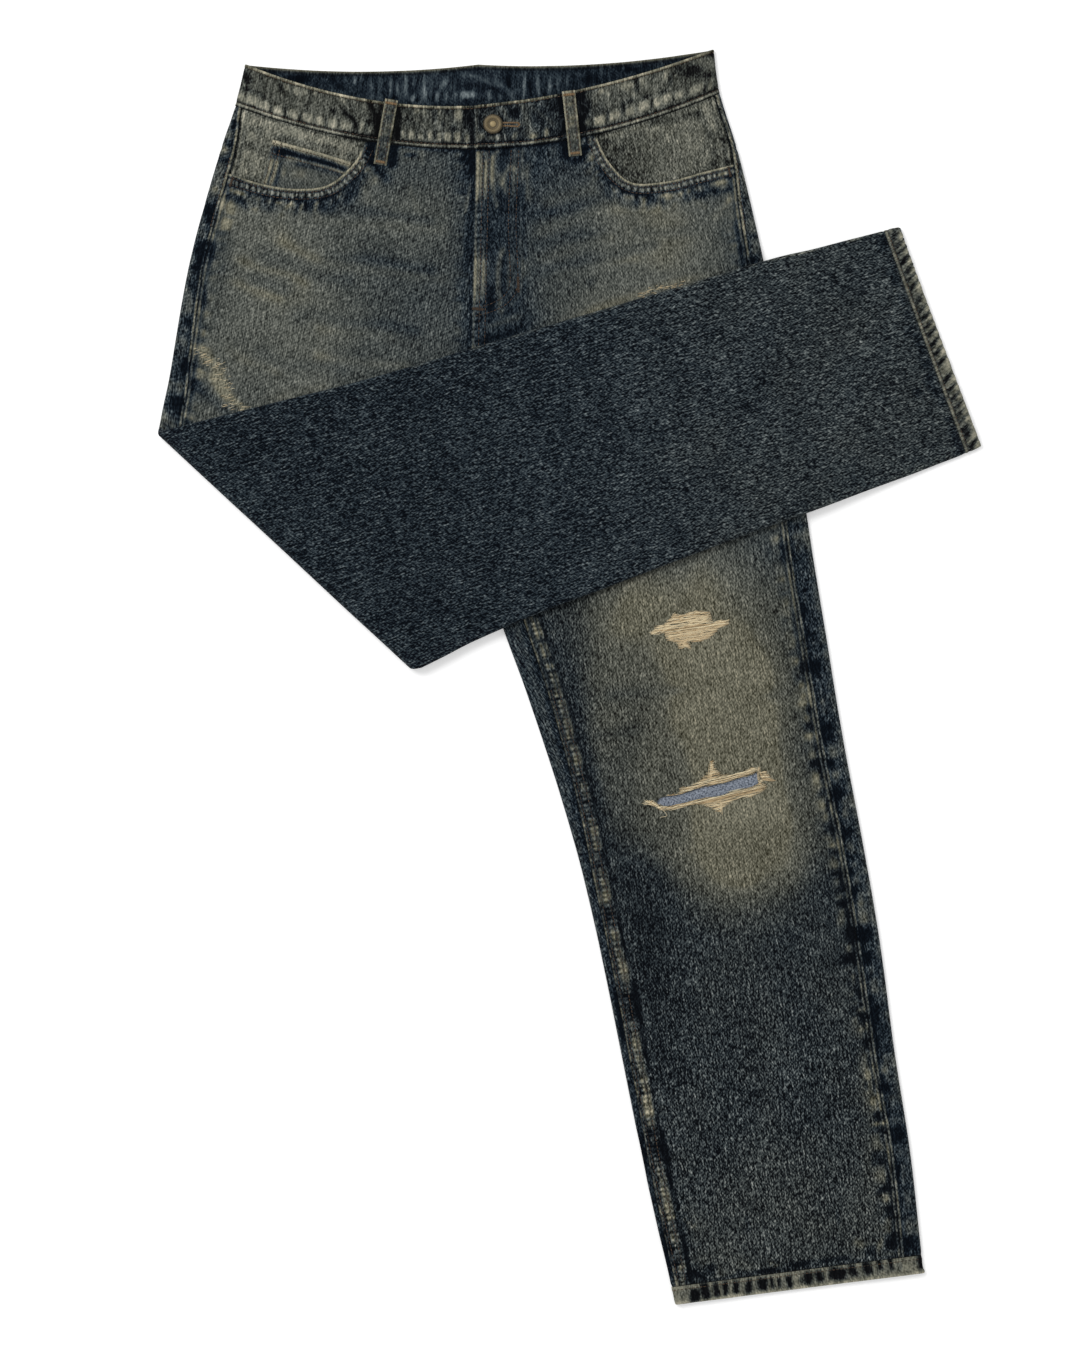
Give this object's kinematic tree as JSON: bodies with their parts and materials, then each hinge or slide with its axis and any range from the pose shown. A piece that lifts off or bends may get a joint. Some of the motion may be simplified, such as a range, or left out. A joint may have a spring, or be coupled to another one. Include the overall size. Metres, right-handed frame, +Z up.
{
  "type": "ripped denim jeans laid flat with one leg folded over",
  "caption": "Straight-leg five-pocket denim jeans laid flat on their back, one leg folded across the hips, with a patched knee rip, waist button and belt loops.",
  "frame": {"origin": "centre of the bounding box in plan, on the surface that the jeans lie on", "axes": "+Z up off the surface, +Y towards the waist, +X towards the wearer's left"},
  "size_m": [0.7071, 1.0783, 0.0144],
  "materials": {
    "denim_faded": "faded greenish-grey denim twill, dry and matt",
    "denim_dark": "dark indigo denim twill with a pale fleck, matt",
    "denim_worn": "denim worn pale on its ridges at hems, band and loops",
    "chambray": "pale blue-grey plain weave",
    "zip_tape": "dark woven tape",
    "antique_brass": "dulled antique brass"
  },
  "bodies": {
    "root": {"front_left": "denim_faded", "front_right": "denim_faded", "back_left": "denim_dark", "back_right": "denim_dark", "yoke_left": "denim_dark", "yoke_right": "denim_dark", "back_pocket_left": "denim_dark", "back_pocket_right": "denim_dark", "hem_left": "denim_worn", "hem_right": "denim_worn", "waistband": "denim_worn", "loop_front_left": "denim_worn", "loop_front_right": "denim_worn", "loop_back_left": "denim_worn", "loop_back_centre": "denim_worn", "loop_back_right": "denim_worn", "facing_left": "denim_faded", "facing_right": "denim_faded", "coin_pocket": "denim_faded", "rip_patch": "chambray", "fly_zip": "zip_tape", "button": "antique_brass"}
  },
  "joints": []
}
